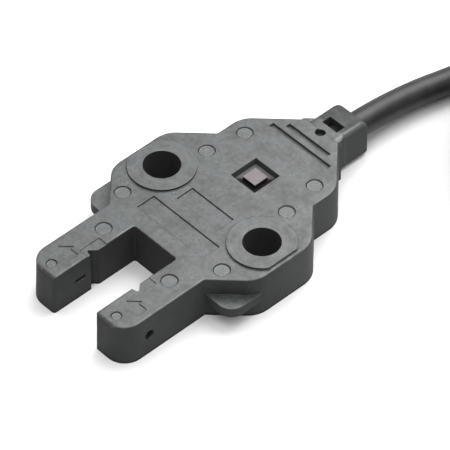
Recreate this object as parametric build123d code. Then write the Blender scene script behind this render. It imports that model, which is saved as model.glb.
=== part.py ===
from build123d import *
import math
import os

# Fork sensor, a flat U-shaped photoelectric sensor with a fixed cable.
# Frame: origin on the flat underside, midway between the two mounting holes.
# +X to the emitter arm, +Y to the cable, +Z up through the thickness.

# Plan of the housing, measured from the line through the mounting holes
slot_width = 5.0
slot_depth = 8.7
slot_back = 6.2
arm_width = 3.25
ear_front = 6.1
ear_rear = 6.0
ear_margin = 2.8
tail_length = 12.55
tail_chamfer = 3.85
corner_radius = 2.4
tip_radius = 1.8
tip_inner_radius = 0.3
root_radius = 0.22
thickness = 4.05
draft_angle = 1.5
top_edge_radius = 0.14
tip_edge_radius = 0.45
cut_over = 1.0

# Mounting holes and the raised pads round them
hole_pitch = 12.0
hole_diameter = 3.2
pad_diameter = 5.86
pad_height = 0.2
pad_side_margin = 0.33
hole_wall = 0.75

# Corner lugs below the front chamfer of each ear
lug_height = 1.45
lug_thickness = 0.95
lug_radius = 1.35
lug_overlap = 0.375

# Shell walls
side_wall = 0.65
slot_wall = 0.6
roof = 0.8
tip_wall = 0.8
rear_wall = 1.25

# Bottom cover, let into a step round the open underside
cover_thickness = 0.6
cover_ledge = 0.3
cover_clearance = 0.04
board_height = 1.5
rib_width = 0.5
rib_inset = 0.7
rib_end_gap = 0.6

# V notch in each inner arm wall, the wall behind it and the strip beside it
notch_setback = 4.36
notch_depth = 0.65
notch_half_width = 0.44
notch_apex_shift = 0.28
notch_root_radius = 0.12
neck_wall = 0.45
neck_margin = 0.35
strip_width = 0.95
strip_length = 2.1
strip_lead = 0.3
strip_depth = 0.08

# Optics, on one line across the slot behind the arm tips
optic_setback = 2.8
aperture_diameter = 1.3
window_thickness = 0.35
window_recess = 0.15
window_clearance = 0.02
key_hole_diameter = 0.9
key_hole_depth = 0.5
package_width = 1.6
package_depth = 1.55
package_height = 2.2
package_chamfer = 0.25
package_gap = 0.08
lens_radius = 0.6
lens_reach = 0.2

# Lead strips from the two optic packages to the board
lead_width = 0.25
lead_thickness = 0.2
lead_pitch = 0.45
lead_overlap = 0.7
lead_wall_gap = 0.12
lead_board_margin = 0.35

# Cable boss at the rear
boss_width = 3.5
boss_length = 3.8
boss_bottom = 0.5
boss_drop = 0.15
boss_radius = 0.42
boss_shoulder_radius = 0.95
boss_root = 1.0
boss_web = 0.55
boss_web_stand = 0.28
boss_web_drop = 0.2
port_width = 1.74
port_length = 0.92
port_setback = 2.53
dimple_diameter = 0.93
dimple_setback = 0.25
dimple_depth = 0.6

# Round pin marks in the top face, each placed from the edges beside it
pin_mark_depth = 0.1
pin_mark_diameter = 1.46
tip_mark_diameter = 0.94
arm_mark = (1.45, 2.02)
ear_mark = (0.05, 1.74)
shoulder_mark = (1.22, 2.07)
tail_mark = (1.58, 4.9)
tip_mark = (1.41, 1.03)

# Bare panels, grooves and arrows in the top face
panel_depth = 0.12
front_panel = (7.88, 1.85)
front_panel_setback = 1.6
middle_panel = (4.92, 1.77)
panel_spacing = 1.15
groove_depth = 0.25
groove_lengths = (6.9, 4.9)
groove_width = 0.46
groove_pitch = 0.95
groove_setback = 2.36
arrow_depth = 0.09
arrow_setback = 2.7
arrow_length = 1.83
arrow_head = 0.93
arrow_head_width = 1.85
arrow_stem_width = 1.1

# Indicator window
window_line = 4.9
window_size = 2.85
pipe_size = 1.44
pipe_drop = 0.15
pipe_ledge_drop = 0.65
pipe_flange = 3.5
pipe_flange_thickness = 0.35

# Circuit board and the legs of what is soldered to it
board_thickness = 0.6
board_gap = 0.2
board_front = 5.0
board_rear = 7.2
board_corner_radius = 0.4
leg_width = 0.3
leg_length = 0.35
leg_thickness = 0.18
chip_chamfer = 0.08

# Board parts: name, place across, place along, length, width, height
board_layout = [
    ("indicator_led", 0.0, window_line, 1.6, 0.8, 0.4),
    ("driver_ic", 0.2, -2.4, 2.9, 1.6, 0.95),
    ("output_transistor", -0.6, 0.4, 2.0, 1.25, 0.9),
    ("capacitor", 1.9, 0.4, 1.0, 1.6, 0.8),
    ("protection_diode", -1.9, 2.3, 1.7, 1.25, 0.75),
    ("resistor_1", -1.85, -4.2, 1.6, 0.8, 0.45),
    ("resistor_2", 0.0, -4.2, 1.6, 0.8, 0.45),
    ("resistor_3", 1.85, -4.2, 1.6, 0.8, 0.45),
]
leg_counts = {"driver_ic": 3, "output_transistor": 2}

# Cable and its four cores
cable_diameter = 2.4
cable_height = 2.12
jacket_reach = 0.3
core_colours = ("brown", "white", "black", "blue")
core_diameter = 0.7
core_offset = 0.4
core_pitch = 1.5
core_landing = 1.1
core_bend = 0.5
seal_length = 2.3
seal_clearance = 0.03

# Coil of the unseen cable and its tie
coil_centre = (17.5, 33.0)
coil_mean_diameter = 24.0
coil_turns = 12.46
coil_layers = 6
coil_play = 0.1
tie_thickness = 0.4
tie_width = 2.5
tie_angle = 48.0

# Stripped cores at the free end: shares of the length, of the fan and of the lift
free_core_length = 20.0
free_core_fan = 1.7
free_core_lift = 0.02
free_core_straight = 1.2
free_core_steps = [(0.56, 0.0, 1.0), (0.8, 0.98, 0.0), (1.0, 1.0, 0.0)]

# Worked-out places
body_half = slot_width / 2 + arm_width
hole_x = hole_pitch / 2
ear_half = hole_x + ear_margin
ear_reach = ear_half - body_half
tip_y = -slot_back - slot_depth
notch_y = tip_y + notch_setback
optic_y = tip_y + optic_setback
diagonal = body_half - tail_chamfer + tail_length
hole_wall_radius = hole_diameter / 2 + hole_wall
ceiling = thickness - roof
inner_half = body_half - side_wall
rear_inner = tail_length - rear_wall
channel_inner = slot_width / 2 + slot_wall
optic_z = thickness / 2
board_top = board_height + board_thickness
board_half = hole_x - hole_wall_radius - board_gap
boss_top = thickness - boss_drop
boss_end = tail_length + boss_length

# Cable route from inside the boss to the coil, chosen by hand after the boss
route_out = [
    (0.0, rear_inner - jacket_reach, cable_height),
    (0.0, boss_end + 0.39, cable_height),
    (0.2, 22.5, 1.535),
    (1.15, 26.9, 1.265),
    (2.2, 31.3, 1.235),
    (2.9, 34.3, 1.4),
    (3.41, 36.36, 1.62),
]

# Cable route off the top of the coil and down to the surface
route_end = [
    (32.1, 32.8, 13.6),
    (33.0, 28.6, 12.9),
    (33.7, 23.9, 10.4),
    (34.2, 19.0, 7.0),
    (34.35, 14.4, 3.7),
    (34.35, 10.2, 1.6),
    (34.3, 6.4, 1.22),
]


def mirrored_face(right_side):
    """Closed plan face from the corner points of its +X half, front to rear."""
    left_side = [(-x, y) for x, y in reversed(right_side)]
    return make_face(Polyline(*right_side, *left_side, close=True))


def plate(face, bottom, top):
    """Upright prism of a plan face between two heights."""
    return Pos(0, 0, bottom) * extrude(face, amount=top - bottom)


def block(x0, x1, y0, y1, z0, z1):
    """Box between two corners."""
    size = (x1 - x0, y1 - y0, z1 - z0)
    return Pos((x0 + x1) / 2, (y0 + y1) / 2, (z0 + z1) / 2) * Box(*size)


def disc(x, y, z0, z1, diameter):
    """Upright cylinder between two heights."""
    return Pos(x, y, (z0 + z1) / 2) * Cylinder(diameter / 2, z1 - z0)


def pair(shape):
    """A shape and its mirror image across the middle plane."""
    return [shape, mirror(shape, about=Plane.YZ)]


def one_solid(shape):
    """The single solid of a finished piece."""
    solids = shape.solids()
    if len(solids) != 1:
        raise ValueError(f"expected one solid, found {len(solids)}")
    return solids[0]


def outline_face(grow):
    """Plan of the housing without its slot, grown outwards by an amount."""
    slide = grow * math.tan(math.radians(22.5))
    front = -ear_front - slide
    rear = ear_rear + slide
    shoulder = tail_length - tail_chamfer + slide
    face = mirrored_face([
        (body_half + grow, tip_y - grow),
        (body_half + grow, front),
        (ear_half + grow, front + ear_reach),
        (ear_half + grow, rear - ear_reach),
        (body_half + grow, rear),
        (body_half + grow, shoulder),
        (body_half - tail_chamfer + slide, tail_length + grow),
    ])
    rows = [
        (tip_y - grow, tip_radius),
        (front + ear_reach, corner_radius),
        (rear - ear_reach, corner_radius),
        (shoulder, corner_radius),
        (front, root_radius),
        (rear, root_radius),
        (tail_length + grow, root_radius),
    ]
    for row, radius in rows:
        face = fillet([v for v in face.vertices() if abs(v.Y - row) < 0.001], radius)
    return face


def slot_cutter():
    """Prism of the slot, open at the tips and rounded at its back corners."""
    length = slot_depth + cut_over
    plan = Pos(0, -slot_back - length / 2) * Rectangle(slot_width, length)
    back = [v for v in plan.vertices() if v.Y > -slot_back - 0.001]
    return plate(fillet(back, root_radius), -cut_over, thickness + cut_over)


def tip_rounding():
    """What is cut away to round the top of the two arm tips."""
    y = tip_y + tip_edge_radius
    z = thickness - tip_edge_radius
    side = body_half + cut_over
    corner = block(-side, side, tip_y - cut_over, y, z, thickness + cut_over)
    return corner - Pos(0, y, z) * Rot(0, 90, 0) * Cylinder(tip_edge_radius, 2 * side)


def shell_body():
    """Drafted block of the housing with the slot and rounded top edges."""
    spread = thickness * math.tan(math.radians(draft_angle))
    body = loft([outline_face(spread), Pos(0, 0, thickness) * outline_face(0)], ruled=True)
    body -= slot_cutter()
    mouth = [
        e for e in body.edges()
        if abs(abs(e.center().X) - slot_width / 2) < 0.05
        and e.center().Y < tip_y + 0.3
        and e.bounding_box().size.Z > thickness * 0.7
    ]
    body = fillet(mouth, tip_inner_radius)
    body = fillet(body.edges().group_by(Axis.Z)[-1], top_edge_radius)
    return body - tip_rounding()


def lug():
    """Square-cornered tab that fills the front chamfer of the +X ear."""
    outer = ear_half + thickness * math.tan(math.radians(draft_angle)) / 2
    inner = body_half - side_wall
    rear = -ear_front + ear_reach + lug_overlap
    face = make_face(Polyline(
        (inner, -ear_front), (outer, -ear_front), (outer, rear), (inner, rear), close=True
    ))
    corner = [v for v in face.vertices() if v.X > outer - 0.01 and v.Y < rear - 0.01]
    return plate(fillet(corner, lug_radius), lug_height, lug_height + lug_thickness)


def pad():
    """Raised round screw pad on the +X ear, cut flat beside the ear's edge."""
    disk = disc(hole_x, 0, ceiling, thickness + pad_height, pad_diameter)
    limit = ear_half - pad_side_margin
    return disk & block(0, limit, -pad_diameter, pad_diameter, 0, thickness + pad_height)


def boss():
    """Cable boss with a rounded shoulder and rims, and its small root webs."""
    half = boss_width / 2
    root_y = tail_length - boss_root
    side = make_face(Polyline(
        (root_y, boss_bottom),
        (boss_end, boss_bottom),
        (boss_end, boss_top),
        (root_y, boss_top),
        close=True,
    ))
    shoulder = side.vertices().group_by(Axis.X)[-1].sort_by(Axis.Y)[-1]
    side = fillet(shoulder, boss_shoulder_radius)
    body = extrude(Plane.YZ * side, amount=half, both=True)
    rims = [
        e for e in body.edges()
        if abs(e.center().X) > half - 0.01
        and e.center().Y > root_y + 0.01
        and e.center().Z > boss_bottom + 0.01
    ]
    body = fillet(rims, boss_radius)
    edge_sum = diagonal + boss_web_stand * math.sqrt(2)
    inner = half - boss_radius / 2
    web = make_face(Polyline(
        (inner, edge_sum - inner - 2 * boss_root),
        (inner, edge_sum - inner),
        (half + boss_web, edge_sum - half - boss_web),
        (half + boss_web, edge_sum - half - boss_web - boss_root),
        close=True,
    ))
    for piece in pair(plate(web, 0, thickness - boss_web_drop)):
        body += piece
    return body


def notch():
    """V cut through the whole thickness in the +X arm's inner wall."""
    wall = slot_width / 2
    face = make_face(Polyline(
        (wall - cut_over, notch_y - notch_half_width),
        (wall, notch_y - notch_half_width),
        (wall + notch_depth, notch_y - notch_apex_shift),
        (wall, notch_y + notch_half_width),
        (wall - cut_over, notch_y + notch_half_width),
        close=True,
    ))
    apex = [v for v in face.vertices() if v.X > wall + notch_depth - 0.01]
    return plate(fillet(apex, notch_root_radius), -cut_over, thickness + cut_over)


def arrow(point_x):
    """Flat arrow whose tip is at point_x and points to -X."""
    half_head = arrow_head_width / 2
    half_stem = arrow_stem_width / 2
    face = make_face(Polyline(
        (0, 0),
        (arrow_head, half_head),
        (arrow_head, half_stem),
        (arrow_length, half_stem),
        (arrow_length, -half_stem),
        (arrow_head, -half_stem),
        (arrow_head, -half_head),
        close=True,
    ))
    place = Pos(point_x, tip_y + arrow_setback)
    return plate(place * face, thickness - arrow_depth, thickness + cut_over)


def pin_marks():
    """Cutters of the round pin marks."""
    places = [
        (slot_width / 2 + arm_mark[0], -slot_back - arm_mark[1], pin_mark_diameter),
        (hole_x - ear_mark[0], -ear_front + ear_mark[1], pin_mark_diameter),
        (hole_x - shoulder_mark[0], ear_rear - shoulder_mark[1], pin_mark_diameter),
        (body_half - tail_mark[0], tail_length - tail_mark[1], pin_mark_diameter),
        (slot_width / 2 + tip_mark[0], tip_y + tip_mark[1], tip_mark_diameter),
    ]
    cuts = []
    for x, y, diameter in places:
        cuts += pair(disc(x, y, thickness - pin_mark_depth, thickness + cut_over, diameter))
    return cuts


def flat_marks():
    """Cutters of the bare panels, the grooves, the arrows and the notch strips."""
    top = thickness + cut_over
    front_y = -slot_back + front_panel_setback + front_panel[1] / 2
    middle_y = front_y + (front_panel[1] + middle_panel[1]) / 2 + panel_spacing
    front = Pos(0, front_y) * Rectangle(*front_panel)
    middle = Pos(0, middle_y) * Rectangle(*middle_panel)
    cuts = [plate(face, thickness - panel_depth, top) for face in (front, middle)]
    for row, length in enumerate(groove_lengths):
        y = tail_length - groove_setback + row * groove_pitch - groove_width / 2
        groove = Pos(0, y) * Rectangle(length, groove_width)
        cuts.append(plate(groove, thickness - groove_depth, top))
    arm_middle = slot_width / 2 + arm_width / 2
    for x in (-arm_middle, arm_middle):
        cuts.append(arrow(x - arrow_length / 2))
    strip = Pos(slot_width / 2, notch_y + strip_lead) * Rectangle(2 * strip_width, strip_length)
    cuts += pair(plate(strip, thickness - strip_depth, top))
    return cuts


def cavity_face(grow):
    """Plan of the hollow middle, grown outwards by an amount, without the arms."""
    half = inner_half + grow
    rear = rear_inner + grow
    edge_sum = diagonal - (side_wall - grow) * math.sqrt(2)
    face = mirrored_face([
        (half, -slot_back + side_wall - grow),
        (half, edge_sum - half),
        (edge_sum - rear, rear),
    ])
    for x in (-hole_x, hole_x):
        face -= Pos(x, 0) * Circle(hole_wall_radius)
    return max(face.faces(), key=lambda f: f.area)


def hollow(grow, bottom, top):
    """Prism of the whole hollow: the middle and a channel in each arm."""
    solid = plate(cavity_face(grow), bottom, top)
    channel = block(
        channel_inner - grow, inner_half + grow,
        tip_y + tip_wall - grow, -slot_back + 2 * side_wall,
        bottom, top,
    )
    for piece in pair(channel):
        solid += piece
    return solid


def notch_backing(grow):
    """Wall kept behind the V notch in the +X arm, grown by an amount."""
    front = notch_y - notch_half_width - neck_margin - grow
    rear = notch_y + notch_half_width + neck_margin + grow
    outer = slot_width / 2 + notch_depth + neck_wall + grow
    return block(slot_width / 2 + neck_wall / 2, outer, front, rear, -cut_over, thickness - roof / 2)


def package_pocket():
    """Room round the optic package of the +X arm."""
    half = package_width / 2 + package_gap
    bottom = optic_z - package_height / 2 - package_gap
    return block(channel_inner, inner_half, optic_y - half, optic_y + half, bottom, ceiling)


def housing(jacket):
    """Moulded U shell: ears, pads, lugs, boss, slot, hollow and cable bore."""
    body = shell_body()
    for piece in pair(lug()) + pair(pad()):
        body += piece
    body += boss()
    space = hollow(0, -cut_over, ceiling) + hollow(cover_ledge, -cut_over, cover_thickness)
    for wall in pair(notch_backing(0)):
        space -= wall
    for pocket in pair(package_pocket()):
        space += pocket
    body -= space
    top = thickness + cut_over
    for hole in pair(disc(hole_x, 0, -cut_over, top, hole_diameter)):
        body -= hole
    for cut in pair(notch()):
        body -= cut
    window = Pos(0, window_line) * Rectangle(window_size, window_size)
    body -= plate(window, ceiling - roof, top)
    port = Pos(0, boss_end - port_setback) * Rectangle(port_width, port_length)
    body -= plate(port, cable_height, top)
    dimple_y = tail_length - dimple_setback
    body -= disc(0, dimple_y, thickness - dimple_depth, top, dimple_diameter)
    body -= jacket
    optic_axis = Pos(0, optic_y, optic_z) * Rot(0, 90, 0)
    body -= optic_axis * Cylinder(aperture_diameter / 2, 2 * channel_inner + lens_reach)
    key_hole = Cylinder(key_hole_diameter / 2, 2 * key_hole_depth)
    body -= Pos(body_half, 0, 0) * optic_axis * key_hole
    for cut in pin_marks() + flat_marks():
        body -= cut
    return one_solid(body)


def bottom_cover():
    """Flat cover in the stepped underside, with two ribs that carry the board."""
    body = hollow(cover_ledge - cover_clearance, 0, cover_thickness)
    wall_diameter = 2 * (hole_wall_radius + cover_clearance)
    for wall in pair(disc(hole_x, 0, -cut_over, board_height, wall_diameter)):
        body -= wall
    for wall in pair(notch_backing(cover_clearance)):
        body -= wall
    rib_x = board_half - rib_inset
    front = -board_front + rib_end_gap
    rear = board_rear - rib_end_gap
    for piece in pair(block(rib_x - rib_width, rib_x, front, rear, 0, board_height)):
        body += piece
    return one_solid(body)


def circuit_board():
    """Narrow board between the two hole walls."""
    plan = RectangleRounded(2 * board_half, board_front + board_rear, board_corner_radius)
    return one_solid(plate(Pos(0, (board_rear - board_front) / 2) * plan, board_height, board_top))


def indicator_window():
    """Clear light pipe: a flange under the roof, a ledge in the window and a pillar."""
    foot = ceiling - pipe_flange_thickness
    steps = [
        (pipe_flange, ceiling),
        (window_size - 2 * window_clearance, thickness - pipe_ledge_drop),
        (pipe_size, thickness - pipe_drop),
    ]
    solid = Part()
    for size, top in steps:
        solid += plate(Pos(0, window_line) * Rectangle(size, size), foot, top)
    return one_solid(solid)


def arm_window():
    """Dark window disc in the aperture of the +X arm."""
    x = slot_width / 2 + window_recess + window_thickness / 2
    disk = Cylinder(aperture_diameter / 2 - window_clearance, window_thickness)
    return one_solid(Pos(x, optic_y, optic_z) * Rot(0, 90, 0) * disk)


def optic_package():
    """Side-looking package in the +X arm, with a dome lens towards the slot."""
    front = channel_inner + lens_reach
    half = package_width / 2
    bottom = optic_z - package_height / 2
    body = block(
        front, front + package_depth, optic_y - half, optic_y + half,
        bottom, bottom + package_height,
    )
    body = chamfer(body.edges().filter_by(Axis.Z).group_by(Axis.X)[-1], package_chamfer)
    ball_radius = (lens_radius ** 2 + lens_reach ** 2) / (2 * lens_reach)
    ball = Pos(channel_inner + ball_radius, optic_y, optic_z) * Sphere(ball_radius)
    cap = ball & block(0, front, optic_y - half, optic_y + half, 0, thickness)
    return one_solid(body + cap)


def lead_strip(index, count):
    """Flat L-shaped lead from the package in the +X arm to the board's top."""
    outer = inner_half - lead_wall_gap - lead_width / 2
    x = outer - (count - 1 - index) * lead_pitch
    start = optic_y + package_width / 2
    turn = -board_front + lead_board_margin + lead_width / 2 + index * lead_pitch
    end = turn + lead_width / 2
    inner = board_half - lead_overlap
    long_leg = Pos(x, (start + end) / 2) * Rectangle(lead_width, end - start)
    short_leg = Pos((inner + x) / 2, turn) * Rectangle(x - inner, lead_width)
    return one_solid(plate(long_leg + short_leg, board_top, board_top + lead_thickness))


def board_part(legs, x, y, length, width, height):
    """Moulded part on the board's top, with flat legs at both long sides."""
    body = Pos(x, y, board_top + height / 2) * Box(length, width, height)
    body = chamfer(body.edges().group_by(Axis.Z)[-1], chip_chamfer)
    reach = width + 2 * leg_length
    for row in range(legs):
        leg_x = x + ((row + 0.5) / legs - 0.5) * length
        leg = Pos(leg_x, y) * Rectangle(leg_width, reach)
        body += plate(leg, board_top, board_top + leg_thickness)
    return one_solid(body)


def core_section_place(index):
    """Sideways and upward place of a core in the cable's section."""
    side = core_offset if index > 1 else -core_offset
    rise = core_offset if index in (1, 2) else -core_offset
    return side, rise


def inner_core(index):
    """One insulated core from the jacket's end to its pad on the board."""
    side, rise = core_section_place(index)
    jacket_end = rear_inner - jacket_reach
    landing = board_rear - core_landing
    landing_x = (index - (len(core_colours) - 1) / 2) * core_pitch
    landing_z = board_top + core_diameter / 2
    step = (jacket_end - landing) / 4
    path = FilletPolyline(
        (side, jacket_end, cable_height + rise),
        (side, jacket_end - step, cable_height + rise),
        (landing_x, landing + step, landing_z),
        (landing_x, landing, landing_z),
        radius=core_bend,
    )
    section = Plane(origin=path @ 0, z_dir=path % 0) * Circle(core_diameter / 2)
    return one_solid(sweep(section, path=path))


def sealing_resin(cores, jacket):
    """Cast plug that holds the jacket and the cores at the rear of the hollow."""
    bottom = cover_thickness + seal_clearance
    solid = plate(cavity_face(-seal_clearance), bottom, ceiling - seal_clearance)
    front = rear_inner - seal_length
    solid &= block(-body_half, body_half, front, tail_length, 0, thickness)
    for piece in cores + [jacket]:
        solid -= piece
    return max(solid.solids(), key=lambda s: s.volume)


def arc_radii(points):
    """Radius of each bend: 0.45 of the shorter run over the half-turn tangent."""
    radii = []
    for a, b, c in zip(points, points[1:], points[2:]):
        before = Vector(*b) - Vector(*a)
        after = Vector(*c) - Vector(*b)
        half_turn = math.radians(before.get_angle(after)) / 2
        radii.append(0.45 * min(before.length, after.length) / math.tan(half_turn))
    return radii


def tube(points, diameter):
    """Round tube along straight runs joined by tangent arcs."""
    radii = arc_radii(points)
    path = FilletPolyline(*points, radius=radii)
    section = Plane(origin=path @ 0, z_dir=path % 0) * Circle(diameter / 2)
    solid = one_solid(sweep(section, path=path))
    share = solid.volume / (math.pi * diameter ** 2 / 4 * path.length)
    bends = [round(r, 1) for r in radii]
    print("tube", round(path.length, 2), "mm, volume share", round(share, 4), "radii", bends)
    return solid


def coil_section():
    """Inner radius, outer radius, bottom and top of the wound coil."""
    travel = coil_turns / coil_layers * cable_diameter
    reach = travel / 2 + cable_diameter / 2 + coil_play
    middle = coil_mean_diameter / 2
    top = tie_thickness + coil_layers * cable_diameter + coil_play
    return middle - reach, middle + reach, tie_thickness, top


def cable_coil():
    """Closed ring of the coil's outer shape."""
    inner, outer, bottom, top = coil_section()
    ring = plate(Circle(outer) - Circle(inner), bottom, top)
    ring = fillet(ring.edges(), cable_diameter * 0.4)
    return one_solid(Pos(*coil_centre, 0) * ring)


def coil_tie(coil):
    """Flat tie band drawn tight round the coil's section."""
    inner, outer, bottom, top = coil_section()
    width = outer - inner + 2 * tie_thickness
    height = top - bottom + 2 * tie_thickness
    loop = RectangleRounded(width, height, cable_diameter * 0.4 + tie_thickness)
    band = Rot(90, 0, 0) * extrude(loop, amount=tie_width / 2, both=True)
    band = Rot(0, 0, tie_angle) * Pos((inner + outer) / 2, 0, (bottom + top) / 2) * band
    return one_solid(Pos(*coil_centre, 0) * band - coil)


def loose_cable(route, coil):
    """Jacket along a route, without the stretch inside the coil."""
    jacket = tube(route, cable_diameter) - coil
    return min(jacket.solids(), key=lambda s: s.center().Y)


def free_core(index):
    """One stripped core at the free end, coming down to lie on the surface."""
    last = Vector(*route_end[-1])
    heading = (last - Vector(*route_end[-2])).normalized()
    aside = Vector(heading.Y, -heading.X, 0).normalized()
    side, rise = core_section_place(index)
    fan = index * free_core_fan
    upward = aside.cross(heading)
    start = last + aside * side + upward * rise
    straight = start + heading * free_core_straight
    points = [tuple(start), tuple(straight)]
    low = core_diameter / 2 + free_core_lift
    for along, swing, lift in free_core_steps:
        place = last + heading * (free_core_length * along) + aside * (side + fan * swing)
        points.append((place.X, place.Y, low + (start.Z - low) * lift))
    path = FilletPolyline(*points, radius=arc_radii(points))
    section = Plane(origin=path @ 0, z_dir=path % 0) * Circle(core_diameter / 2)
    return one_solid(sweep(section, path=path))


def main():
    """Build every piece and write one STEP file for each."""
    coil = cable_coil()
    jacket = loose_cable(route_out, coil)
    cores = [inner_core(index) for index in range(len(core_colours))]
    emitter_window, receiver_window = pair(arm_window())
    emitter, receiver = pair(optic_package())
    pieces = {
        "housing": housing(jacket),
        "bottom_cover": bottom_cover(),
        "circuit_board": circuit_board(),
        "indicator_window": indicator_window(),
        "emitter_window": emitter_window,
        "receiver_window": receiver_window,
        "emitter_led": emitter,
        "receiver_ic": receiver,
        "sealing_resin": sealing_resin(cores, jacket),
        "cable": jacket,
        "cable_coil": coil,
        "cable_end": loose_cable(route_end, coil),
        "coil_tie": coil_tie(coil),
    }
    for index, role in enumerate(("anode", "cathode")):
        pieces[f"emitter_lead_{role}"] = lead_strip(index, 2)
    for index, role in enumerate(("supply", "output", "ground")):
        pieces[f"receiver_lead_{role}"] = mirror(lead_strip(index, 3), about=Plane.YZ)
    for name, *sizes in board_layout:
        pieces[name] = board_part(leg_counts.get(name, 0), *sizes)
    for index, colour in enumerate(core_colours):
        pieces[f"wire_{colour}"] = cores[index]
        pieces[f"tail_{colour}"] = free_core(index)
    os.makedirs("parts", exist_ok=True)
    for name, shape in pieces.items():
        export_step(shape, f"parts/{name}.step")
    print(len(pieces), "pieces")


main()
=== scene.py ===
import math

import bmesh
import bpy
from mathutils import Matrix, Vector


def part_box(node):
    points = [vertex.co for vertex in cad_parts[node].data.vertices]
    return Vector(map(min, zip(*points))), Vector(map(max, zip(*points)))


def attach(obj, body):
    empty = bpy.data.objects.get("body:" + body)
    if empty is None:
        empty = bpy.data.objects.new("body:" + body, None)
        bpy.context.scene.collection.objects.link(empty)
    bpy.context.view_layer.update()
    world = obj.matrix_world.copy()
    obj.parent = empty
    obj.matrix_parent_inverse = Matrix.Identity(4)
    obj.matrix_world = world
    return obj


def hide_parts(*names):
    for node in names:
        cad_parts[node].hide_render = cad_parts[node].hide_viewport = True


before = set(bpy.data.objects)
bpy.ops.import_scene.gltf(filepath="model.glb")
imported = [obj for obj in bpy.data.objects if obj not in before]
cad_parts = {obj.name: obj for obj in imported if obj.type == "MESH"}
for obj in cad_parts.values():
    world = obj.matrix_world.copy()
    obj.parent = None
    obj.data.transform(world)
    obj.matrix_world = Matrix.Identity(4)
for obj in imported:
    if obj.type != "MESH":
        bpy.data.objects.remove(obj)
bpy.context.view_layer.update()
print("frame loaded:", len(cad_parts), "nodes")

mm = 0.001


def standFacing(name, data, target, look):
    # a camera or lamp, turned to a target in millimetres; azimuth 0 is the front
    turn = math.radians(look["azimuth"])
    rise = math.radians(look["elevation"])
    away = Vector((
        math.sin(turn) * math.cos(rise),
        -math.cos(turn) * math.cos(rise),
        math.sin(rise),
    ))
    stand = bpy.data.objects.new(name, data)
    stand.location = (Vector(target) + away * look["distance"]) * mm
    stand.rotation_euler = away.to_track_quat("Z", "Y").to_euler()
    bpy.context.collection.objects.link(stand)
    return stand


# camera: a long lens, looking down on one corner of the sensor
cameraView = {
    "aim": (-0.403, 1.883, 0.0),
    "azimuth": 47.057,
    "elevation": 46.115,
    "distance": 331.298,
    "lens": 321.53,
    "sensor": 36.0,
    "clipStart": 0.01,
    "clipEnd": 20,
}


def makeCamera(look):
    data = bpy.data.cameras.new("camera")
    data.lens = look["lens"]
    data.sensor_width = look["sensor"]
    data.clip_start = look["clipStart"]
    data.clip_end = look["clipEnd"]
    bpy.context.scene.camera = standFacing("camera", data, look["aim"], look)


makeCamera(cameraView)
print("camera placed")


# cable: the route's points repeat those of the solids, in millimetres
cable = {
    "diameter": 2.4,
    "height": 2.12,
    "exitY": 16.35,
    "out": [
        (0.0, 11.0, 2.12),
        (0.0, 16.74, 2.12),
        (0.2, 22.5, 1.535),
        (1.15, 26.9, 1.265),
        (2.2, 31.3, 1.235),
        (2.9, 34.3, 1.4),
        (3.41, 36.36, 1.62),
    ],
    "end": [
        (32.1, 32.8, 13.6),
        (33.0, 28.6, 12.9),
        (33.7, 23.9, 10.4),
        (34.2, 19.0, 7.0),
        (34.35, 14.4, 3.7),
        (34.35, 10.2, 1.6),
        (34.3, 6.4, 1.22),
    ],
    "coilCentre": (17.5, 33.0),
    "coilMiddle": 12.0,
    "layers": 6,
    "turns": 12.46,
    "pointsPerTurn": 24,
    "climbTurn": 0.2,
    "floorGap": 0.4,
    "stepsPerPoint": 6,
    "roundSteps": 5,
}


def coilPoints(look):
    # neat turns side by side, each layer back over the one below
    x0, y0 = look["coilCentre"]
    startX, startY, _ = look["out"][-1]
    start = math.atan2(startY - y0, startX - x0)
    perLayer = look["turns"] / look["layers"]
    swing = perLayer * look["diameter"] / 2
    count = round(look["turns"] * look["pointsPerTurn"])
    points = []
    for step in range(1, count):
        turn = step / look["pointsPerTurn"]
        layer = min(int(turn / perLayer), look["layers"] - 1)
        share = turn / perLayer - layer
        inward = 1 - 2 * share if layer % 2 == 0 else 2 * share - 1
        radius = look["coilMiddle"] + swing * inward
        climb = 0
        if layer > 0:
            climb = min(share * perLayer / look["climbTurn"], 1) - 1
        height = look["floorGap"] + look["diameter"] * (0.5 + layer + climb)
        angle = start - 2 * math.pi * turn
        points.append((x0 + radius * math.cos(angle), y0 + radius * math.sin(angle), height))
    return points


def makeCable(look):
    points = look["out"] + coilPoints(look) + look["end"]
    data = bpy.data.curves.new("cable_jacket", "CURVE")
    data.dimensions = "3D"
    data.resolution_u = look["stepsPerPoint"]
    data.bevel_depth = 1
    data.bevel_resolution = look["roundSteps"]
    data.use_fill_caps = True
    spline = data.splines.new("NURBS")
    spline.points.add(len(points) - 1)
    for point, place in zip(spline.points, points):
        point.co = (place[0] * mm, place[1] * mm, place[2] * mm, 1)
        point.radius = look["diameter"] / 2 * mm  # times a bevel depth of 1
    spline.order_u = 3
    spline.use_endpoint_u = True
    jacket = bpy.data.objects.new("cable_jacket", data)
    bpy.context.collection.objects.link(jacket)
    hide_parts("cable", "cable_coil", "cable_end")
    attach(jacket, "root")
    return jacket


jacket = makeCable(cable)
print("cable made")


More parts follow.
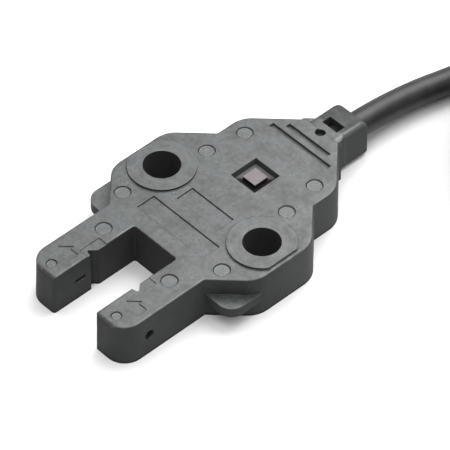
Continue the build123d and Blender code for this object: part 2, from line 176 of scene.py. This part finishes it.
class Shade:
    # wraps one socket, so that shader maths is written as plain sums
    def __init__(self, tree, socket=None):
        self.tree = tree
        self.socket = socket

    def make(self, kind, settings=None, inputs=None, output=0):
        node = self.tree.nodes.new(kind)
        for name, value in (settings or {}).items():
            setattr(node, name, value)
        for key, value in (inputs or {}).items():
            if isinstance(value, Shade):
                self.tree.links.new(value.socket, node.inputs[key])
            else:
                node.inputs[key].default_value = value
        return Shade(self.tree, node.outputs[output])

    def maths(self, operation, first, second):
        return self.make("ShaderNodeMath", {"operation": operation}, {0: first, 1: second})

    def __add__(self, other):
        return self.maths("ADD", self, other)

    def __radd__(self, other):
        return self.maths("ADD", other, self)

    def __sub__(self, other):
        return self.maths("SUBTRACT", self, other)

    def __rsub__(self, other):
        return self.maths("SUBTRACT", other, self)

    def __mul__(self, other):
        return self.maths("MULTIPLY", self, other)

    def __rmul__(self, other):
        return self.maths("MULTIPLY", other, self)

    def __abs__(self):
        return self.maths("ABSOLUTE", self, 0)

    def orMore(self, other):
        return self.maths("MAXIMUM", self, other)


def newMaterial(name):
    material = bpy.data.materials.new(name)
    material.use_nodes = True
    tree = material.node_tree
    return material, Shade(tree), tree.nodes["Principled BSDF"]


def wire(shader, **parts):
    # joins finished values to the shader's sockets
    sockets = {
        "colour": "Base Color",
        "roughness": "Roughness",
        "metal": "Metallic",
        "normal": "Normal",
    }
    for part, value in parts.items():
        value.tree.links.new(value.socket, shader.inputs[sockets[part]])


def place(shade):
    return shade.make("ShaderNodeTexCoord", output="Object")


def axes(where):
    split = where.make("ShaderNodeSeparateXYZ", {}, {0: where}).socket.node
    return [Shade(where.tree, socket) for socket in split.outputs]


def combine(x, y, z=0):
    return x.make("ShaderNodeCombineXYZ", {}, {0: x, 1: y, 2: z})


def noise(where, size, detail=2, roughness=0.5):
    # cloudy values round 0.5, with lumps of about a size in millimetres
    inputs = {"Vector": where, "Scale": 1 / (size * mm), "Detail": detail, "Roughness": roughness}
    return where.make("ShaderNodeTexNoise", {}, inputs, output="Fac")


def around(value, spread):
    # a noise as a change of up to half the spread either way
    return (value - 0.5) * spread


def mix(amount, first, second):
    inputs = {"Factor": amount, 6: first, 7: second}
    return amount.make("ShaderNodeMix", {"data_type": "RGBA"}, inputs, output=2)


def mixNormal(amount, first, second):
    inputs = {"Factor": amount, 4: first, 5: second}
    return amount.make("ShaderNodeMix", {"data_type": "VECTOR"}, inputs, output=1)


def ramp(value, start, full):
    # smooth step from 0 at the start to 1 at full
    inputs = {"Value": value, "From Min": start, "From Max": full}
    return value.make("ShaderNodeMapRange", {"interpolation_type": "SMOOTHSTEP"}, inputs)


def rampAt(value, start, full):
    # the same, between two places in millimetres
    return ramp(value, start * mm, full * mm)


def band(value, low, high, soft):
    # 1 between two places in millimetres, with soft ends inside them
    return rampAt(value, low, low + soft) * rampAt(value, high, high - soft)


def region(at, limits):
    # 1 where each limit is met: an axis, the place where it starts and where it is full
    return math.prod(rampAt(at[axis], start, full) for axis, start, full in limits)


def planDistance(flat, centre):
    inputs = {0: flat, 1: (centre[0] * mm, centre[1] * mm, 0)}
    return flat.make("ShaderNodeVectorMath", {"operation": "DISTANCE"}, inputs, output=1)


def roundedEdge(shade, radius, samples=8):
    # shading of a moulded edge, softer than the sharp edge of the mesh
    return shade.make("ShaderNodeBevel", {"samples": samples}, {"Radius": radius * mm})


def upright(shade, level, steep):
    # 0 where the face's normal has the first height or more, 1 where it has the second or less
    facing = shade.make("ShaderNodeTexCoord", output="Normal")
    return ramp(abs(axes(facing)[2]), level, steep)


def bump(height, depth, normal=None):
    inputs = {"Height": height, "Distance": depth * mm}
    if normal:
        inputs["Normal"] = normal
    return height.make("ShaderNodeBump", {}, inputs)


def mouldedPlastic(name, look):
    material, shade, shader = newMaterial(name)
    where = place(shade)
    cloud = noise(where, **look["cloud"])
    grain = noise(where, **look["grain"])
    colour = mix(ramp(cloud, *cloudRange), look["dark"], look["light"])
    rough = look["roughness"] + around(grain, look["roughSpread"])
    if "paintedBossShade" in look:
        # the stretch inside the boss, under the port, painted near black and rougher as painted
        # shade
        paintedBossShade = look["paintedBossShade"]
        x, y, _ = axes(where)
        inBoss = region({"x": x, "y": y}, paintedBossShade["limits"])
        colour = mix(inBoss, colour, paintedBossShade["colour"])
        rough = rough + inBoss * paintedBossShade["rougher"]
    normal = bump(grain, look["grainDepth"], roundedEdge(shade, look["edge"]))
    wire(shader, colour=colour, roughness=rough, normal=normal)
    shader.inputs["IOR"].default_value = look["ior"]
    return material


# plain plastics: cloud values from the first to the second go from dark to light
cloudRange = (0.3, 0.7)
plastics = {
    "cover": {
        "dark": (0.016, 0.017, 0.018, 1),
        "light": (0.026, 0.028, 0.028, 1),
        "cloud": {"size": 1.4, "detail": 3},
        "grain": {"size": 0.07},
        "grainDepth": 0.003,
        "roughness": 0.42,
        "roughSpread": 0.12,
        "edge": 0.05,
        "ior": 1.5,
    },
    "jacket": {
        "dark": (0.009, 0.009, 0.010, 1),
        "light": (0.018, 0.018, 0.019, 1),
        "cloud": {"size": 1.1, "detail": 3},
        "grain": {"size": 0.16},
        "grainDepth": 0.006,
        "roughness": 0.5,
        "roughSpread": 0.14,
        "edge": 0.02,
        "ior": 1.5,
        # painted shade: the jacket inside the boss, seen through the port, goes near black
        "paintedBossShade": {
            "limits": [("y", 15.4, 15.2), ("x", 3.2, 3.0)],
            "colour": (0.001, 0.001, 0.001, 1),
            "rougher": 0.5,
        },
    },
    "tie": {
        "dark": (0.018, 0.018, 0.019, 1),
        "light": (0.032, 0.032, 0.033, 1),
        "cloud": {"size": 0.8, "detail": 3},
        "grain": {"size": 0.12},
        "grainDepth": 0.008,
        "roughness": 0.4,
        "roughSpread": 0.2,
        "edge": 0.08,
        "ior": 1.52,
    },
    "chip": {
        "dark": (0.012, 0.012, 0.013, 1),
        "light": (0.022, 0.022, 0.023, 1),
        "cloud": {"size": 0.4, "detail": 3},
        "grain": {"size": 0.03},
        "grainDepth": 0.003,
        "roughness": 0.55,
        "roughSpread": 0.2,
        "edge": 0.03,
        "ior": 1.55,
    },
    "castingResin": {
        "dark": (0.020, 0.017, 0.014, 1),
        "light": (0.042, 0.034, 0.026, 1),
        "cloud": {"size": 1.0, "detail": 3},
        "grain": {"size": 0.2},
        "grainDepth": 0.006,
        "roughness": 0.22,
        "roughSpread": 0.12,
        "edge": 0.1,
        "ior": 1.54,
    },
    "opticWindow": {
        "dark": (0.010, 0.006, 0.008, 1),
        "light": (0.018, 0.009, 0.012, 1),
        "cloud": {"size": 0.5, "detail": 3},
        "grain": {"size": 0.05},
        "grainDepth": 0.0005,
        "roughness": 0.12,
        "roughSpread": 0.05,
        "edge": 0.04,
        "ior": 1.58,
    },
    "opticPackage": {
        "dark": (0.040, 0.016, 0.022, 1),
        "light": (0.075, 0.030, 0.040, 1),
        "cloud": {"size": 0.6, "detail": 3},
        "grain": {"size": 0.04},
        "grainDepth": 0.001,
        "roughness": 0.18,
        "roughSpread": 0.08,
        "edge": 0.05,
        "ior": 1.56,
    },
    "lamp": {
        "dark": (0.32, 0.020, 0.016, 1),
        "light": (0.48, 0.045, 0.034, 1),
        "cloud": {"size": 0.3, "detail": 3},
        "grain": {"size": 0.03},
        "grainDepth": 0.001,
        "roughness": 0.3,
        "roughSpread": 0.1,
        "edge": 0.04,
        "ior": 1.52,
    },
    "ceramic": {
        "dark": (0.20, 0.13, 0.080, 1),
        "light": (0.31, 0.21, 0.13, 1),
        "cloud": {"size": 0.3, "detail": 3},
        "grain": {"size": 0.02},
        "grainDepth": 0.002,
        "roughness": 0.5,
        "roughSpread": 0.2,
        "edge": 0.03,
        "ior": 1.6,
    },
}
finish = {name: mouldedPlastic(name, look) for name, look in plastics.items()}


# housing: black moulded plastic, with a grey mottled bloom and painted sheen on its level faces,
# painted light on its rear walls and near boss rim, and painted shade in its pits, holes, slot and
# at the foot of its walls
# limits name an axis, the place where a mask starts and the place where it is full, in
# millimetres, and across is x on both sides alike; a pair alone is just a start and a full
housing = {
    "dark": (0.006, 0.007, 0.007, 1),
    "light": (0.026, 0.030, 0.030, 1),
    # pale grey for painted sheen and painted light, and for the wear of the round marks and pad
    # rings
    "sheenAndWear": (0.086, 0.095, 0.094, 1),
    # near black for painted shade in pits, holes, slot and at the foot of the walls
    "paintedShade": (0.002, 0.002, 0.002, 1),
    "ior": 1.55,
    "edge": 0.07,
    "bossEdge": 0.2,
    "cloud": {"size": 1.6, "detail": 4, "roughness": 0.6},
    "cloudRange": (0.32, 0.68),
    "blotch": {"size": 0.45, "detail": 3, "roughness": 0.6},
    "blotchRange": (0.42, 0.6),
    "grain": {"size": 0.13},
    "grainRange": (0.35, 0.65),
    "mottle": (0.6, 0.4),  # shares of cloud and blotch
    "patches": (0.45, 0.35, 0.2),  # shares of cloud, blotch and grain
    # how far level faces go towards the pale grey: mottled bloom, and painted sheen since walls
    # get none
    "bloomAndSheen": 0.5,
    "wallTilt": (0.75, 0.35),  # heights of a face's normal: still level, and wall
    # walls held even and dark: painted shade on the sides
    "wallEven": 0.65,
    "paintedWallShade": -0.1,
    "roughness": 0.36,
    "roughSpread": 0.2,
    "cloudRough": -0.14,
    "rougher": {
        "pit": 0.5,
        "mark": -0.06,
        "wall": 0.46,
        "sunk": 0.3,
        "boss": 0.35,
        "nearRim": -0.315,
    },
    "depths": {
        "blotch": 0.014,
        "grain": 0.010,
        "crown": 0.15,
        "bowl": 0.08,
        "lip": 0.03,
    },
    "top": [("z", 3.7, 3.8)],
    # walls towards the rear are painted lighter: painted light
    "rear": [("y", -3.0, 3.0)],
    "paintedRearLight": 0.24,
    # inner walls of the slot between the arms, painted dark as painted shade
    "slot": [("across", 2.65, 2.6), ("y", -6.0, -6.2), ("y", -10.8, -10.3)],
    "slotShade": 0.85,
    # the foot of every wall, painted dark as painted shadow where it meets the floor
    "wallFootShade": [("z", 0.24, 0.08)],
    "boss": [("y", 13.4, 13.7)],
    "bossPlain": 0.85,
    # the boss's near rim, on the x side only: painted highlight, and smoother
    "nearRim": [("x", 1.1, 1.5)],
    "paintedRimHighlight": 0.55,
    "roundRim": [("across", 1.4, 1.7), ("z", 3.3, 3.7)],
    "crown": [("across", 1.1, 1.9)],
    # level top of the web at the boss's near root, painted dark as painted shade
    "web": [("x", 1.75, 1.78), ("y", 12.0, 12.1), ("z", 3.9, 3.87)],
    # blind round hole in one arm's outer wall, painted dark as painted shade
    "keyHole": {
        "centre": (-12.1, 2.025),
        "reach": (0.52, 0.5),
        "limits": [("x", 5.7, 5.67), ("x", 5.0, 5.1)],
    },
    # the square port and the round dimple, painted dark as painted shade
    "pits": [  # y, half width, half length
        (13.82, 0.9, 0.5),
        (12.3, 0.5, 0.5),
    ],
    "pitSoft": 0.05,
    "pitTop": [("z", 3.84, 3.79)],
    "marks": [  # x, y, radius
        (3.95, -8.22, 0.73),
        (5.95, -4.36, 0.73),
        (4.78, 3.93, 0.73),
        (4.17, 7.65, 0.73),
        (3.91, -13.87, 0.47),
    ],
    "markSoft": 0.05,
    "markBloom": 0.35,
    "lipBloom": 0.4,
    "bowl": (0.02, -0.14),  # start and full, past the mark's radius
    "pad": {
        "centre": (6.0, 0.0),
        "reach": (2.93, 2.83),
        "rings": {"size": 0.22},
        "ringStretch": 0.15,
        "ringRange": (0.35, 0.65),
        "hole": (1.72, 1.64),
    },
    "ringBloom": 0.22,
    # painted shade inside the screw holes
    "holeShade": 0.7,
    # walls of the arrows and panels, painted dark as painted shade
    "sunk": [
        [("across", 2.9, 2.92), ("across", 5.4, 5.38), ("y", -13.4, -13.38), ("y", -10.9, -10.92)],
        [("across", 4.05, 4.03), ("y", -6.0, -5.98), ("y", 1.6, 1.58)],
    ],
    "sunkTilt": (0.5, 0.2),
    "panels": [  # half width, front, rear
        (3.94, -4.6, -2.75),
        (2.46, -1.6, 0.17),
    ],
    # painted shadow lines at the foot of the panels' far walls
    "foot": {"soft": 0.01, "start": 0.09, "full": 0.03, "dark": 0.75},
}


def housingPlaces(shade):
    # the point on the housing, its axes, and its place in the plan of the x side
    where = place(shade)
    x, y, z = axes(where)
    across = abs(x)
    return {"where": where, "x": x, "y": y, "z": z, "across": across, "flat": combine(across, y)}


def markMasks(at, look):
    # face of each round mark, the fine lip round it, and the bowl of its floor
    face = lip = bowl = 0
    soft = look["markSoft"]
    bowlStart, bowlFull = look["bowl"]
    for centreX, centreY, radius in look["marks"]:
        away = planDistance(at["flat"], (centreX, centreY))
        face = rampAt(away, radius, radius - soft) + face
        lip = rampAt(abs(away - radius * mm), soft, 0) + lip
        bowl = rampAt(away, radius + bowlStart, radius + bowlFull) + bowl
    top = region(at, look["top"])
    return face * top, lip * top, bowl * top


def sunkWallShade(shade, at, look):
    # walls of the arrows and panels, painted darker than the face round them as painted shade
    sunk = sum(region(at, limits) for limits in look["sunk"])
    return sunk * region(at, look["top"]) * upright(shade, *look["sunkTilt"])


def footShadowLines(at, look):
    # painted shadow: a dark line at the foot of each panel's far walls
    foot = look["foot"]
    lines = 0
    for half, front, rear in look["panels"]:
        floor = band(at["x"], -half, half, foot["soft"]) * band(at["y"], front, rear, foot["soft"])
        side = rampAt(at["x"], foot["start"] - half, foot["full"] - half)
        back = rampAt(at["y"], rear - foot["start"], rear - foot["full"])
        lines = floor * side.orMore(back) + lines
    return lines * region(at, look["top"]) * foot["dark"]


def padMasks(at, pad):
    # faint rings on the raised pad round each screw hole, and the inside of the hole
    away = planDistance(at["flat"], pad["centre"])
    turned = combine(away, at["x"] * pad["ringStretch"], at["y"] * pad["ringStretch"])
    rings = ramp(noise(turned, **pad["rings"]), *pad["ringRange"])
    return rampAt(away, *pad["reach"]) * rings, rampAt(away, *pad["hole"])


def portShadeMask(at, look):
    # inside of the square port and the round dimple by the cable, painted dark as painted shade
    inside = 0
    soft = look["pitSoft"]
    for line, halfWidth, halfLength in look["pits"]:
        along = abs(at["y"] - line * mm)
        wide = rampAt(at["across"], halfWidth + soft, halfWidth)
        inside = inside + wide * rampAt(along, halfLength + soft, halfLength)
    return inside * region(at, look["pitTop"])


def keyHoleShadeMask(at, hole):
    # inside of the blind round hole in one arm's outer wall, painted dark as painted shade
    aside = abs(at["y"] - hole["centre"][0] * mm)
    above = abs(at["z"] - hole["centre"][1] * mm)
    return rampAt(aside.orMore(above), *hole["reach"]) * region(at, hole["limits"])


def weighted(values, weights):
    return sum(value * weight for value, weight in zip(values, weights))


def housingMasks(shade, look):
    # the places and textures that colour, roughness and bumps share
    at = housingPlaces(shade)
    wall = upright(shade, *look["wallTilt"])
    level = 1 - wall
    boss = region(at, look["boss"])
    mark, lip, bowl = markMasks(at, look)
    rings, inHole = padMasks(at, look["pad"])
    # painted shade on the web's top
    web = level * region(at, look["web"])
    # painted shadow at the foot of the walls
    wallFootShade = wall * region(at, look["wallFootShade"])
    return {
        "wall": wall,
        "level": level,
        "boss": boss,
        "nearRim": boss * region(at, look["nearRim"]),
        "roundRim": boss * region(at, look["roundRim"]),
        "crown": boss * region(at, look["crown"]),
        "mark": mark,
        "lip": lip,
        "bowl": bowl,
        "rings": level * rings,
        "hole": wall * inHole,
        "rear": wall * region(at, look["rear"]) * (1 - inHole),
        "slot": wall * region(at, look["slot"]),
        "pit": portShadeMask(at, look) + web + keyHoleShadeMask(at, look["keyHole"]) + wallFootShade,
        "sunk": sunkWallShade(shade, at, look) + footShadowLines(at, look),
        "cloud": ramp(noise(at["where"], **look["cloud"]), *look["cloudRange"]),
        "blotch": noise(at["where"], **look["blotch"]),
        "grain": noise(at["where"], **look["grain"]),
    }


def housingColour(on, look):
    mottle = weighted((on["cloud"], on["blotch"]), look["mottle"])
    # walls keep about a third of their mottle and lean to the dark tone: painted shade on the
    # sides
    mottle = mottle + on["wall"] * look["wallEven"] * (look["paintedWallShade"] - mottle)
    colour = mix(mottle, look["dark"], look["light"])
    speckled = (
        on["cloud"],
        ramp(on["blotch"], *look["blotchRange"]),
        ramp(on["grain"], *look["grainRange"]),
    )
    # level faces painted lighter than walls with the mottled bloom: painted sheen, less of it on
    # the boss
    bloomAndSheen = on["level"] * look["bloomAndSheen"] * weighted(speckled, look["patches"])
    bloomAndSheen = bloomAndSheen * (1 - on["boss"] * look["bossPlain"])
    # painted highlight along the boss's near rim
    bloomAndSheen = bloomAndSheen + on["nearRim"] * on["level"] * look["paintedRimHighlight"]
    layers = [
        # painted light on the walls towards the rear
        (on["rear"] * look["paintedRearLight"], "sheenAndWear"),
        # painted shade inside the screw holes
        (on["hole"] * look["holeShade"], "paintedShade"),
        (bloomAndSheen, "sheenAndWear"),
        (on["mark"] * look["markBloom"] + on["lip"] * look["lipBloom"], "sheenAndWear"),
        (on["rings"] * look["ringBloom"], "sheenAndWear"),
        # painted shade in the port, dimple, key hole, web top and at the foot of the walls
        (on["pit"], "paintedShade"),
        # painted shade on the slot's inner walls
        (on["slot"] * look["slotShade"], "paintedShade"),
        # painted shade on the sunk walls and painted shadow at their foot
        (on["sunk"], "paintedShade"),
    ]
    for amount, tone in layers:
        colour = mix(amount, colour, look[tone])
    return colour


def housingRoughness(on, look):
    rough = look["roughness"] + around(on["grain"], look["roughSpread"])
    rough = rough + around(on["cloud"], look["cloudRough"]) * on["level"]
    for part, change in look["rougher"].items():
        rough = rough + on[part] * change
    return rough


def housingNormal(shade, on, look):
    edges = [roundedEdge(shade, look[edge]) for edge in ("edge", "bossEdge")]
    normal = mixNormal(on["roundRim"], *edges)
    heights = {
        "blotch": on["blotch"],
        "grain": on["grain"],
        "crown": 1 - on["crown"],
        "bowl": 1 - on["bowl"],
        "lip": on["lip"],
    }
    for part, height in heights.items():
        normal = bump(height, look["depths"][part], normal)
    return normal


def housingPlastic(look):
    material, shade, shader = newMaterial("housingPlastic")
    on = housingMasks(shade, look)
    colour = housingColour(on, look)
    rough = housingRoughness(on, look)
    normal = housingNormal(shade, on, look)
    wire(shader, colour=colour, roughness=rough, normal=normal)
    shader.inputs["IOR"].default_value = look["ior"]
    return material


finish["housing"] = housingPlastic(housing)


# light pipe: milky plastic on top; its sides painted dark as painted shade, red towards the near
# corner where they look down to the lamp, and its ledge pale only at the far corner
pipe = {
    "milky": (0.11, 0.10, 0.104, 1),
    "clouded": (0.165, 0.15, 0.156, 1),
    "paintedSideShade": (0.011, 0.010, 0.010, 1),
    "red": (0.1, 0.012, 0.022, 1),
    "ledge": (0.1, 0.096, 0.096, 1),
    "top": (3.84, 3.87),
    "onLedge": (3.45, 3.42),
    "middle": 4.9,
    "farCorner": (0.1, 0.7),
    "nearCorner": (-1.6, -2.5),
    "cloud": {"size": 0.25, "detail": 3},
    "cloudDepth": 0.003,
    "edge": 0.05,
    "roughness": 0.6,
    "roughSpread": 0.2,
    "sideRougher": 0.35,
    "ior": 1.15,
}


def pipePlastic(look):
    material, shade, shader = newMaterial("lightPipe")
    where = place(shade)
    x, y, z = axes(where)
    cloud = noise(where, **look["cloud"])
    onTop = rampAt(z, *look["top"])
    far = y - look["middle"] * mm - x
    onFarLedge = rampAt(z, *look["onLedge"]) * rampAt(far, *look["farCorner"])
    # sides and ledge take painted shade, red towards the near corner; the ledge keeps its pale
    # grey only at the far corner
    colour = mix(rampAt(far, *look["nearCorner"]), look["paintedSideShade"], look["red"])
    colour = mix(onFarLedge, colour, look["ledge"])
    colour = mix(onTop, colour, mix(cloud, look["milky"], look["clouded"]))
    rough = look["roughness"] + around(cloud, look["roughSpread"])
    rough = rough + (1 - onTop) * look["sideRougher"]
    normal = bump(cloud, look["cloudDepth"], roundedEdge(shade, look["edge"]))
    wire(shader, colour=colour, roughness=rough, normal=normal)
    shader.inputs["IOR"].default_value = look["ior"]
    return material


finish["pipe"] = pipePlastic(pipe)


# board: green solder mask with a woven glass ground and paler tracks
board = {
    "mask": (0.012, 0.085, 0.032, 1),
    "track": (0.022, 0.15, 0.055, 1),
    "weaveSize": 2.1,
    "weaveWander": 0.4,
    "weaveHeight": 0.15,
    "path": {"size": 1.6, "detail": 0},
    "trackEdge": (0.03, 0.022),
    "depth": 0.02,
    "edge": 0.04,
    "roughness": 0.32,
    "weaveRougher": 0.08,
}


def boardLaminate(look):
    material, shade, shader = newMaterial("boardLaminate")
    where = place(shade)
    inputs = {
        "Vector": where,
        "Scale": 1 / (look["weaveSize"] * mm),
        "Distortion": look["weaveWander"],
    }
    weave = shade.make("ShaderNodeTexWave", {"bands_direction": "DIAGONAL"}, inputs)
    path = noise(where, **look["path"])
    track = ramp(abs(around(path, 1)), *look["trackEdge"])
    colour = mix(track, look["mask"], look["track"])
    rough = look["roughness"] + weave * look["weaveRougher"]
    height = track + weave * look["weaveHeight"]
    normal = bump(height, look["depth"], roundedEdge(shade, look["edge"]))
    wire(shader, colour=colour, roughness=rough, normal=normal)
    return material


finish["board"] = boardLaminate(board)


# leads: tinned copper, a little dull and scratched along the strip
tin = {
    "bright": (0.66, 0.65, 0.62, 1),
    "dull": (0.46, 0.45, 0.42, 1),
    "cloud": {"size": 0.25, "detail": 4},
    "scratch": {"size": 0.03},
    "scratchDepth": 0.003,
    "edge": 0.03,
    "roughness": 0.3,
    "roughSpread": 0.25,
}


def tinnedMetal(look):
    material, shade, shader = newMaterial("tinnedMetal")
    where = place(shade)
    cloud = noise(where, **look["cloud"])
    scratch = noise(where, **look["scratch"])
    colour = mix(cloud, look["bright"], look["dull"])
    rough = look["roughness"] + around(cloud, look["roughSpread"])
    normal = bump(scratch, look["scratchDepth"], roundedEdge(shade, look["edge"]))
    wire(shader, colour=colour, roughness=rough, normal=normal)
    shader.inputs["Metallic"].default_value = 1
    return material


finish["tin"] = tinnedMetal(tin)


# cores: coloured insulation, stripped to tinned strands at the free tips
cores = {
    "colours": {
        "brown": (0.13, 0.042, 0.016, 1),
        "white": (0.72, 0.71, 0.68, 1),
        "black": (0.014, 0.014, 0.015, 1),
        "blue": (0.012, 0.062, 0.32, 1),
    },
    "fade": 0.85,
    "chalk": 0.02,
    "strands": (0.62, 0.60, 0.56, 1),
    "stripped": (-10.56, -10.6),
    "cloud": {"size": 0.7, "detail": 3},
    "grain": {"size": 0.12},
    "grainDepth": 0.005,
    "roughness": 0.38,
    "roughSpread": 0.2,
}


def coreInsulation(colourName, look):
    material, shade, shader = newMaterial(colourName + "Core")
    where = place(shade)
    full = look["colours"][colourName]
    pale = tuple(look["fade"] * value + look["chalk"] for value in full[:3]) + (1,)
    cloud = noise(where, **look["cloud"])
    grain = noise(where, **look["grain"])
    stripped = rampAt(axes(where)[1], *look["stripped"])
    colour = mix(stripped, mix(cloud, full, pale), look["strands"])
    rough = look["roughness"] + around(grain, look["roughSpread"])
    normal = bump(grain, look["grainDepth"])
    wire(shader, colour=colour, roughness=rough, metal=stripped, normal=normal)
    return material


for colourName in cores["colours"]:
    finish[colourName] = coreInsulation(colourName, cores)


# which finish the pieces of the frame wear, by how their names start
wears = {
    "housing": "housing",
    "bottom_cover": "cover",
    "circuit_board": "board",
    "indicator_window": "pipe",
    "emitter_window": "opticWindow",
    "receiver_window": "opticWindow",
    "emitter_led": "opticPackage",
    "receiver_ic": "opticPackage",
    "emitter_lead": "tin",
    "receiver_lead": "tin",
    "indicator_led": "lamp",
    "driver_ic": "chip",
    "output_transistor": "chip",
    "protection_diode": "chip",
    "capacitor": "ceramic",
    "resistor": "ceramic",
    "sealing_resin": "castingResin",
    "cable": "jacket",
    "coil_tie": "tie",
}
for colourName in cores["colours"]:
    wears["wire_" + colourName] = colourName
    wears["tail_" + colourName] = colourName

for start, kind in wears.items():
    for name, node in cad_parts.items():
        if name.startswith(start):
            node.data.materials.clear()
            node.data.materials.append(finish[kind])
jacket.data.materials.append(finish["jacket"])
print("materials made:", len(finish))


# slit plates: flush with the slot walls, each with a level slit before its window
slitPlate = {
    "recess": 0.15,
    "thickness": 0.12,
    "slitHeight": 0.42,
    "slitLength": 1.12,
    "segments": 48,
}


def makeSlitPlate(name, look):
    low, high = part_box(name + "_window")
    middle = (Vector(low) + Vector(high)) / 2
    radius = (high[2] - low[2]) / 2
    side = 1 if middle.x > 0 else -1
    wall = min(abs(low[0]), abs(high[0])) - look["recess"] * mm
    mesh = bmesh.new()
    bmesh.ops.create_circle(mesh, segments=look["segments"], radius=radius)
    half = look["slitHeight"] / 2 * mm
    slit = bmesh.ops.create_circle(
        mesh,
        segments=look["segments"],
        radius=half,
        matrix=Matrix.Rotation(math.pi / look["segments"], 4, "Z"),
    )["verts"]
    reach = look["slitLength"] / 2 * mm - half
    for end in (1, -1):
        ends = [vert for vert in slit if vert.co.x * end > 0]
        bmesh.ops.translate(mesh, verts=ends, vec=(end * reach, 0, 0))
    bmesh.ops.bridge_loops(mesh, edges=mesh.edges[:])
    rim = bmesh.ops.extrude_face_region(mesh, geom=mesh.faces[:])["geom"]
    back = [part for part in rim if isinstance(part, bmesh.types.BMVert)]
    bmesh.ops.translate(mesh, verts=back, vec=(0, 0, look["thickness"] * mm))
    # the plate stands up and faces the slot
    stand = Matrix((
        (0, 0, side, side * wall),
        (1, 0, 0, middle.y),
        (0, 1, 0, middle.z),
        (0, 0, 0, 1),
    ))
    bmesh.ops.transform(mesh, verts=mesh.verts[:], matrix=stand)
    bmesh.ops.recalc_face_normals(mesh, faces=mesh.faces[:])
    data = bpy.data.meshes.new(name + "_slit_plate")
    mesh.to_mesh(data)
    mesh.free()
    data.materials.append(finish["housing"])
    plate = bpy.data.objects.new(name + "_slit_plate", data)
    bpy.context.collection.objects.link(plate)
    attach(plate, "root")


for name in ("emitter", "receiver"):
    makeSlitPlate(name, slitPlate)
print("slit plates made")


# studio: pale paper under five soft lamps and an even sky, sizes in millimetres
studio = {
    "floorSize": 4000.0,
    "floorShade": 0.6,
    "floorRoughness": 0.9,
    "floorShine": 0.1,
    "worldStrength": 0.33,
}
lamps = {
    "key": {"power": 0.83, "size": 200, "distance": 250, "azimuth": 190, "elevation": 58},
    "left": {"power": 4.3, "size": 700, "distance": 900, "azimuth": 272, "elevation": 62},
    "right": {"power": 3.6, "size": 900, "distance": 900, "azimuth": 112, "elevation": 50},
    "top": {"power": 1.2, "size": 900, "distance": 900, "azimuth": 60, "elevation": 85},
    "front": {"power": 4.6, "size": 700, "distance": 900, "azimuth": 47, "elevation": 60},
}


def makeFloor(look):
    bpy.ops.mesh.primitive_plane_add(size=look["floorSize"] * mm)
    floor = bpy.context.object
    floor.name = "floor"
    material, _, shader = newMaterial("paper")
    grey = look["floorShade"]
    shader.inputs["Base Color"].default_value = (grey, grey, grey, 1)
    shader.inputs["Roughness"].default_value = look["floorRoughness"]
    shader.inputs["Specular IOR Level"].default_value = look["floorShine"]
    floor.data.materials.append(material)


def makeLamp(name, look):
    data = bpy.data.lights.new(name, "AREA")
    data.energy = look["power"]
    data.size = look["size"] * mm
    standFacing(name, data, (0, 0, 0), look)


def makeWorld(look):
    world = bpy.data.worlds.new("studio")
    world.use_nodes = True
    sky = world.node_tree.nodes["Background"]
    sky.inputs["Color"].default_value = (1, 1, 1, 1)
    sky.inputs["Strength"].default_value = look["worldStrength"]
    bpy.context.scene.world = world


makeFloor(studio)
for name, look in lamps.items():
    makeLamp(name + "Light", look)
makeWorld(studio)
bpy.context.scene.view_settings.view_transform = "Standard"
print("studio lit")
